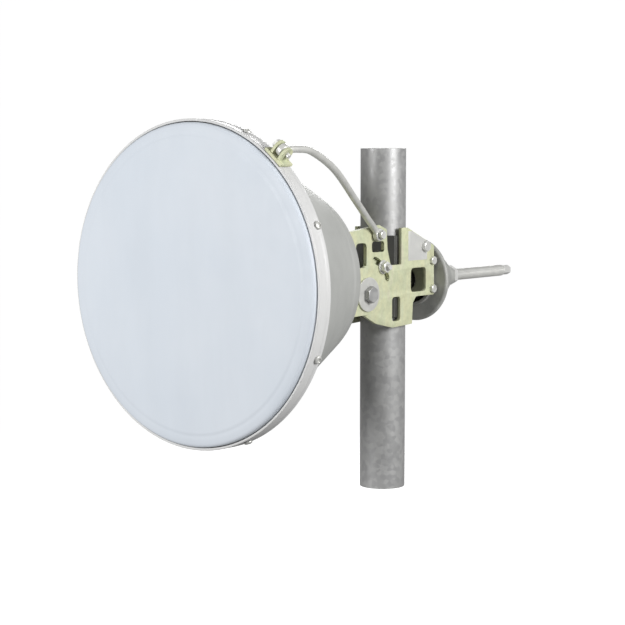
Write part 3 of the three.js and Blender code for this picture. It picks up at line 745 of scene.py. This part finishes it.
def make_spacer():
    """A tube between the side plates, with the bolt and nut that hold it."""
    low, high = extent("spacer")
    y, z = (low.y + high.y) / 2, (low.z + high.z) / 2
    wall = [(4.4, low.x, 0.5), (6.6, low.x, 0.6), (6.6, high.x, 0.6), (4.4, high.x, 0.5)]
    sleeve = lathe(wall, 40, closed=True)
    piece("spacer_turned", bolt_along(RIGHT, [sleeve], y, z), BRACKET, "bolt_steel", ["spacer"])
    low, high = extent("spacer_bolt")
    head_x = high.x - 5.5
    shank = lathe([(0, low.x + 8), (3.95, low.x + 8), (3.95, head_x + 1), (0, head_x + 1)], 32)
    thread = threaded(4, 1.25, low.x, low.x + 9, 32)
    head = aimed(hexagonal(13, 5.4), BACK, (0, head_x, 0))
    bolt = bolt_along(RIGHT, [shank, thread, head], y, z)
    piece("spacer_bolt_fine", bolt, BRACKET, "bolt_steel", ["spacer_bolt"])
    low, high = extent("spacer_nut")
    nut = aimed(hexagonal(13, high.x - low.x - 0.1, 4.1, both=True), BACK, (0, low.x, 0))
    piece("spacer_nut_fine", bolt_along(RIGHT, [nut], y, z), BRACKET, "bolt_steel", ["spacer_nut"])


def make_backing_plate():
    """A thin plated sheet under the head of the spacer's bolt."""
    face = extent("side_plate_right")[1].x + 0.02
    outline = [(12, 4), (12, 46), (36.5, 46), (47.5, 20), (51, 12), (51, 4)]
    piece("backing_plate", plate(outline, face, face + 0.26, edge=0.1), BRACKET, "bolt_steel")


def weld_bead(route, radius):
    """A weld's rippled bead along a straight run from one point to another."""
    start, end = Vector(route[0]), Vector(route[1])
    count = max(2, int((end - start).length / (radius * 0.8)))
    way = (end - start).normalized()
    side = way.orthogonal().normalized()
    other = way.cross(side)
    rings = []
    for i in range(count * 4 + 1):
        t = i / (count * 4)
        ripple = 0.86 + 0.14 * math.cos(2 * math.pi * (i % 4) / 4)
        swell = radius * ripple * min(1, 8 * t + 0.3, 8 * (1 - t) + 0.3)
        centre = start.lerp(end, t)
        rings.append([centre + (side * math.cos(a) + other * math.sin(a)) * swell
                      for a in (2 * math.pi * k / 12 for k in range(12))])
    return skin([[start] * 12, *rings, [end] * 12], closed=False)


def make_welds():
    """Beads along both faces of the front jaw, where its edges meet the side plates."""
    edge = extent("side_plate_right")[0].x - 0.6
    bottom, top, radius = -32, 5, 1.7
    beads = []
    for x in (edge, -edge):
        for y in (-20.2, -12.6):
            beads.append(weld_bead([(x, y, bottom), (x, y, top)], radius))
    piece("front_jaw_welds", merged(*beads), BRACKET, "black_steel")


def make_bridge_screws():
    for hand, side in (("right", 1), ("left", -1)):
        for level in ("upper", "lower"):
            node = f"bridge_screw_{hand}_{level}"
            low, high = extent(node)
            y, z = (low.y + high.y) / 2, (low.z + high.z) / 2
            start, tip = sorted((abs(low.x), abs(high.x)))
            head = aimed(hexagonal(10, 4.1), BACK, (0, tip - 4.2, 0))
            shank = lathe([(0, start), (2.7, start, 0.6), (2.7, tip - 3), (0, tip - 3)], 24)
            screw = bolt_along(RIGHT * side, [head, shank], y, z)
            piece(f"{node}_fine", screw, BRACKET, "bolt_steel", [node])


def make_bonnet():
    low, high = extent("screw_bonnet")
    front, tip, z = low.y, high.y, (low.z + high.z) / 2
    bore = 8.3
    shell = lathe([
        (32, front, 0.6), (36, front, 0.8), (36, front + 4, 1), (55, front + 4, 2.5), (57, front + 6.5, 2),
        (57, front + 9.5, 2), (51, front + 13, 4), (16, tip - 11, 5), (13.5, tip, 1.5), (bore, tip, 0.6),
        (bore, tip - 15, 1), (14, tip - 21, 2), (32, front + 34, 4),
    ], 128, closed=True)
    ribs = [make_rib(front, tip, math.radians(45 + 90 * k)) for k in range(4)]
    bonnet = aimed(merged(shell, *ribs), BACK, (0, 0, z))
    piece("screw_bonnet_cast", bonnet, BRACKET, "cast_grey", ["screw_bonnet"])
    low, high = extent("screw_lock_nut")
    nut = hexagonal(24, high.y - low.y, 8.2, both=True)
    piece("screw_lock_nut_fine", aimed(nut, BACK, (0, low.y, z)), BRACKET, "bolt_steel", ["screw_lock_nut"])


def make_rib(front, tip, angle):
    """A tapered web on the bonnet's cone."""
    half = 2.4
    outline = [(30, front + 9), (54, front + 9), (53, front + 13), (18.2, tip - 13), (12, tip - 11)]
    bm = plate(outline, -half, half)
    bmesh.ops.transform(bm, matrix=Matrix.Rotation(angle, 4, "Y"), verts=bm.verts)
    return bm


def plate(outline, start, end, edge=0.7):
    """A flat plate with rounded edges: an outline of (z, y) corners, thick along X."""
    bm = bmesh.new()
    sides = [[bm.verts.new((x, y, z)) for z, y in outline] for x in (start, end)]
    bm.faces.new(sides[0])
    bm.faces.new(reversed(sides[1]))
    for i in range(len(outline)):
        n = (i + 1) % len(outline)
        bm.faces.new((sides[0][n], sides[0][i], sides[1][i], sides[1][n]))
    bmesh.ops.bevel(bm, geom=list(bm.edges), offset=edge, segments=3, affect="EDGES", profile=0.5)
    bmesh.ops.recalc_face_normals(bm, faces=bm.faces)
    return bm


# ---- clamp and mast ------------------------------------------------------------------------


def make_clamp_screw():
    low, high = extent("clamp_screw")
    z = (low.z + high.z) / 2
    drive = 16.0
    rod = threaded(8, CLAMP_THREAD, low.y, high.y - drive, 32)
    end = aimed(hexagonal(12, drive + 0.8), BACK, (0, high.y - drive - 0.8, 0))
    piece("clamp_screw_cut", aimed(merged(rod, end), BACK, (0, 0, z)), SCREW, "bolt_steel", ["clamp_screw"])
    low, high = extent("thrust_cap")
    cup = lathe([
        (0, low.y), (12.5, low.y, 1.2), (12.5, high.y, 1.6),
        (8.3, high.y, 0.8), (8.3, low.y + 3, 0.5), (0, low.y + 3),
    ], 64)
    piece("thrust_cap_turned", aimed(cup, BACK, (0, 0, z)), JAW, "black_steel", ["thrust_cap"])


def make_mast():
    low, high = extent("mast")
    bore = MAST_R - MAST_WALL
    tube_wall = [(bore, low.z, 0.8), (MAST_R, low.z, 0.9), (MAST_R, high.z, 0.9), (bore, high.z, 0.8)]
    tube = aimed(lathe(tube_wall, 128, closed=True), UP)
    piece("mast_tube", tube, MAST, "galvanised_steel", ["mast"])


def dress_cad_nodes():
    """Sheet parts keep their CAD shape and get rounded edges and a finish."""
    for node, obj in frame["nodes"].items():
        obj.data.materials.clear()
        obj.data.materials.append(FINISHES[SLOT_OF[node]])
    for node in ("side_plate_right", "side_plate_left", "front_jaw", "rear_jaw", "rear_bridge", "rim_ear"):
        soften(frame["nodes"][node], SHEET_EDGE)


# ---- stage ---------------------------------------------------------------------------------

CAMERA_AZIMUTH, CAMERA_ELEVATION = math.radians(39.56), math.radians(5.36)
CAMERA_DISTANCE, CAMERA_LENS, SENSOR = 2.2635, 102.8, 36.0
FLOOR_Z, FLOOR_RADIUS, DOME_RADIUS = -0.30, 2.6, 12.0
WORLD_STRENGTH = 0.29
LIGHTS = (  # name, azimuth, elevation, distance and size in metres, power in watts
    ("key", 92, 18, 2.6, 1.2, 71),
    ("front", -16, 7, 3.0, 1.0, 71),
    ("back", 217, 24, 2.8, 1.3, 42),
)


def camera_axes():
    a, e = CAMERA_AZIMUTH, CAMERA_ELEVATION
    toward = Vector((math.sin(a) * math.cos(e), -math.cos(a) * math.cos(e), math.sin(e)))
    right = Vector((math.cos(a), math.sin(a), 0))
    return toward, right, toward.cross(right)


def make_camera():
    toward, right, up = camera_axes()
    aim = Vector((0, -0.150, AXIS_Z * MM)) + right * 0.0017 - up * 0.0475
    camera = bpy.data.objects.new("camera", bpy.data.cameras.new("camera"))
    camera.data.lens = CAMERA_LENS
    camera.data.sensor_width = SENSOR
    camera.data.clip_end = 100
    camera.location = aim + toward * CAMERA_DISTANCE
    camera.rotation_euler = toward.to_track_quat("Z", "Y").to_euler()
    bpy.context.scene.collection.objects.link(camera)
    bpy.context.scene.camera = camera


def make_floor():
    """A pale floor that fades out into a white dome, which only the camera sees."""
    floor = stage_mesh("floor", disc(FLOOR_RADIUS), FLOOR_Z)
    s = Surface("floor_white", (0.88, 0.88, 0.88), 0.9, Specular_IOR_Level=0.1,
                Emission_Color=(1, 1, 1, 1), Emission_Strength=0.62)
    for ray in ("diffuse", "glossy"):
        setattr(floor, f"visible_{ray}", False)
    reach = s.nodes.new("ShaderNodeVectorMath")
    reach.operation = "LENGTH"
    s.links.new(s.place, reach.inputs[0])
    inside = s.ramp(s.scaled(reach.outputs["Value"], 1 / FLOOR_RADIUS), [(0.3, 1.0), (0.95, 0.0)])
    s.links.new(inside, s.shader.inputs["Alpha"])
    floor.data.materials.append(s.material)
    dome = bmesh.new()
    bmesh.ops.create_icosphere(dome, subdivisions=4, radius=DOME_RADIUS)
    dome = stage_mesh("dome", dome, 0)
    s = Surface("dome_white", (0, 0, 0), 1.0, Emission_Color=(1, 1, 1, 1), Emission_Strength=1.0)
    dome.data.materials.append(s.material)
    for ray in ("diffuse", "glossy", "transmission", "volume_scatter", "shadow"):
        setattr(dome, f"visible_{ray}", False)


def disc(radius):
    bm = bmesh.new()
    bmesh.ops.create_circle(bm, cap_ends=True, segments=96, radius=radius)
    return bm


def stage_mesh(name, bm, height):
    mesh = bpy.data.meshes.new(name)
    bm.to_mesh(mesh)
    bm.free()
    obj = bpy.data.objects.new(name, mesh)
    obj.location.z = height
    bpy.context.scene.collection.objects.link(obj)
    return obj


def area_light(name, azimuth, elevation, distance, size, power, aim=(0, -0.1, 0.28)):
    a, e = math.radians(azimuth), math.radians(elevation)
    toward = Vector((math.sin(a) * math.cos(e), -math.cos(a) * math.cos(e), math.sin(e)))
    light = bpy.data.lights.new(name, "AREA")
    light.shape = "DISK"
    light.size = size
    light.energy = power
    obj = bpy.data.objects.new(name, light)
    obj.location = Vector(aim) + toward * distance
    obj.rotation_euler = toward.to_track_quat("Z", "Y").to_euler()
    bpy.context.scene.collection.objects.link(obj)


def make_lights():
    for lamp in LIGHTS:
        area_light(*lamp)
    world = bpy.data.worlds.new("studio")
    world.use_nodes = True
    world.node_tree.nodes["Background"].inputs["Color"].default_value = (1, 1, 1, 1)
    world.node_tree.nodes["Background"].inputs["Strength"].default_value = WORLD_STRENGTH
    scene = bpy.context.scene
    scene.world = world
    scene.view_settings.view_transform = "Standard"
    scene.view_settings.look = "None"


make_camera()
make_lights()
make_floor()
dress_cad_nodes()
make_radome()
make_rim_band()
make_reflector()
make_rear_shell()
make_hub()
make_yoke()
make_brace()
make_feed()
make_pivot()
make_locks()
make_spacer()
make_bridge_screws()
make_backing_plate()
make_welds()
make_bonnet()
make_clamp_screw()
make_mast()
